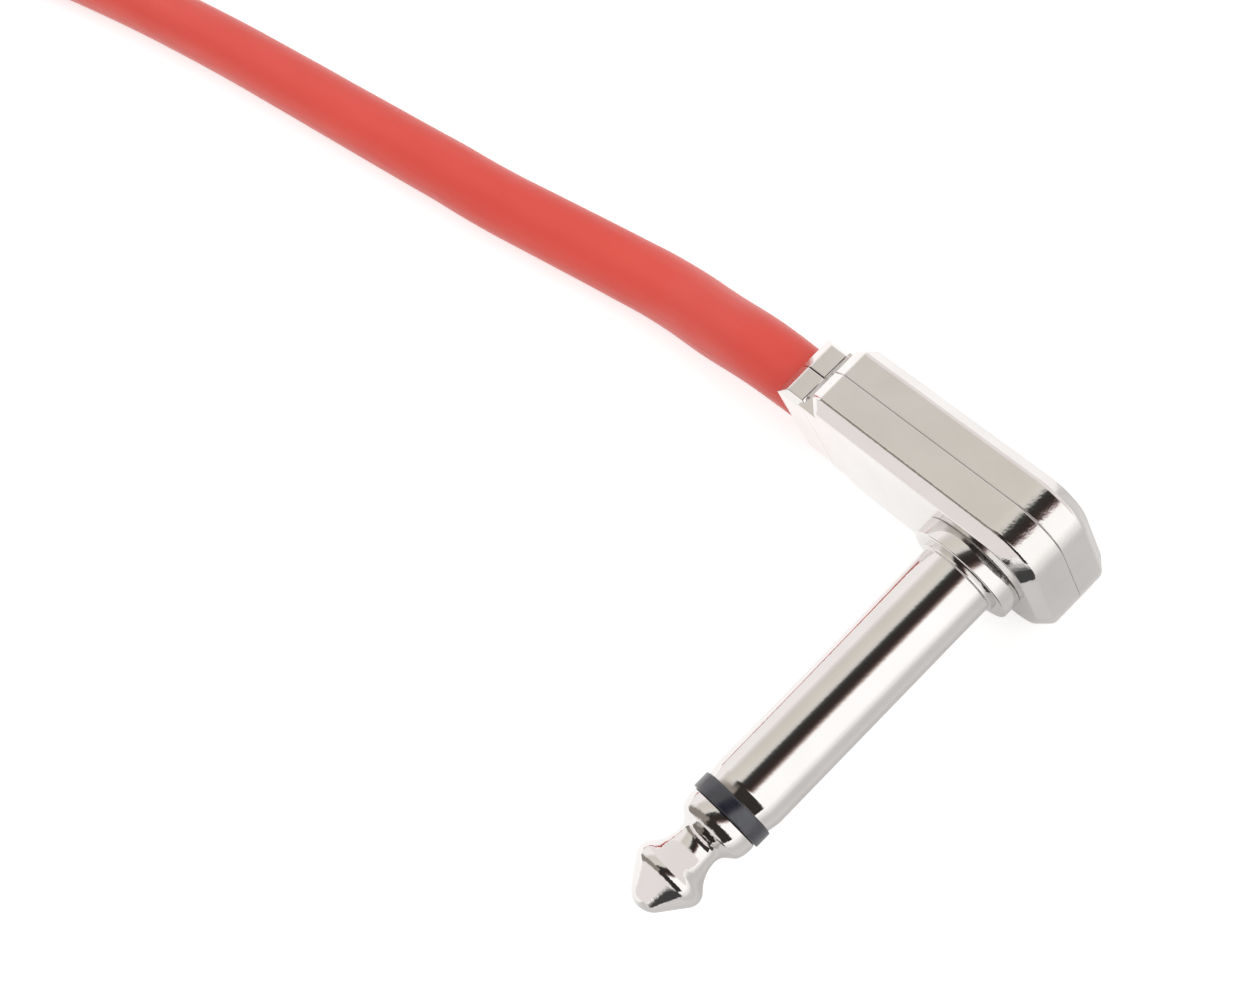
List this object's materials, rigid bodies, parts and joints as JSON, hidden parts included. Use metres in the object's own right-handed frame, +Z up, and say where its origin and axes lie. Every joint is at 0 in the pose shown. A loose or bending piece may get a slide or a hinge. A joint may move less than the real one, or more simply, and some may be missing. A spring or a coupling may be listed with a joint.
{
  "type": "instrument patch cable",
  "caption": "Short round patch cable with a flat metal right-angle jack plug at each end, laid in a shallow S.",
  "frame": {"origin": "centre of the near plug's box, on the surface it lies on", "axes": "+X from the near plug's housing towards the cable, +Y along the near plug's shaft towards its tip, +Z up"},
  "size_m": [0.3099, 0.0426, 0.0138],
  "materials": {
    "housing_plating": "polished",
    "collar_plating": "polished",
    "contact_plating": "polished",
    "insulator_black": "gloss",
    "insulator_white": "matte",
    "washer_fibre": "matte",
    "lug_brass": "satin",
    "cable_jacket": "satin",
    "core_white": "satin",
    "wire_copper": "satin",
    "solder": "satin",
    "sheet_film": "matte"
  },
  "bodies": {
    "root": {"front_shell": "housing_plating", "rear_shell": "housing_plating", "plug_collar": "collar_plating", "plug_sleeve": "contact_plating", "insulator_ring": "insulator_black", "rod_insulator": "insulator_white", "tip_contact": "contact_plating", "rear_washer": "washer_fibre", "tip_lug": "lug_brass", "ground_lug": "lug_brass", "cable_end": "cable_jacket", "core_insulation": "core_white", "core_wire": "wire_copper", "shield_pigtail": "wire_copper", "tip_solder": "solder", "ground_solder": "solder", "insulating_sheet": "sheet_film", "cord": "cable_jacket", "far_front_shell": "housing_plating", "far_rear_shell": "housing_plating", "far_plug_collar": "collar_plating", "far_plug_sleeve": "contact_plating", "far_insulator_ring": "insulator_black", "far_rod_insulator": "insulator_white", "far_tip_contact": "contact_plating", "far_rear_washer": "washer_fibre", "far_tip_lug": "lug_brass", "far_ground_lug": "lug_brass", "far_cable_end": "cable_jacket", "far_core_insulation": "core_white", "far_core_wire": "wire_copper", "far_shield_pigtail": "wire_copper", "far_tip_solder": "solder", "far_ground_solder": "solder", "far_insulating_sheet": "sheet_film"}
  },
  "joints": []
}
